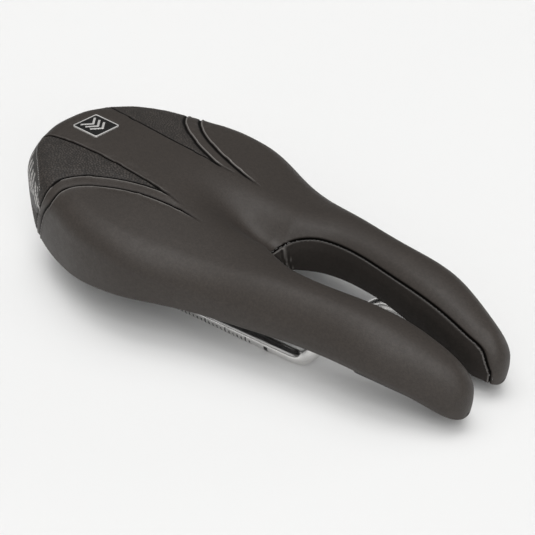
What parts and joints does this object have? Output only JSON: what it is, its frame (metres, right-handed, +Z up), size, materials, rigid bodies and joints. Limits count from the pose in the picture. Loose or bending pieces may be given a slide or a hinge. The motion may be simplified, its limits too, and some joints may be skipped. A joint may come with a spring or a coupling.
{
  "type": "bicycle saddle",
  "caption": "Padded bicycle saddle with a split nose and a through relief slot, on a moulded base with round steel rails for a seatpost clamp.",
  "frame": {"origin": "midway between the two rails, at the height of the rail axes, at the middle of the straight clamping length", "axes": "+X towards the nose, +Y to the rider's left, +Z up"},
  "size_m": [0.2552, 0.1262, 0.0702],
  "materials": {
    "cover_skin": "matte",
    "grained_skin": "matte, pebble grain",
    "band_skin": "satin",
    "liner_skin": "matte",
    "thread": "matte",
    "foam": "open foam",
    "shell_nylon": "fine texture",
    "socket_nylon": "satin",
    "rail_steel": "satin",
    "screw_steel": "black oxide",
    "staple_steel": "bright",
    "badge_metal": "satin",
    "badge_print": "gloss",
    "reflective": "reflective film"
  },
  "bodies": {
    "root": {"base_shell": "shell_nylon", "foam_pad": "foam", "top_cover": "cover_skin", "slot_liner": "liner_skin", "slot_seam_thread": "thread", "grained_panel_left": "grained_skin", "grained_panel_right": "grained_skin", "sweep_band_left": "band_skin", "sweep_band_right": "band_skin", "badge_frame": "badge_metal", "badge_inlay": "badge_print", "rear_reflective_strip": "reflective", "cover_staples": "staple_steel", "left_rail": "rail_steel", "right_rail": "rail_steel", "front_rail_socket_left": "socket_nylon", "front_rail_socket_right": "socket_nylon", "rear_rail_socket_left": "socket_nylon", "rear_rail_socket_right": "socket_nylon", "front_socket_screws": "screw_steel", "rear_socket_screws": "screw_steel"}
  },
  "joints": []
}
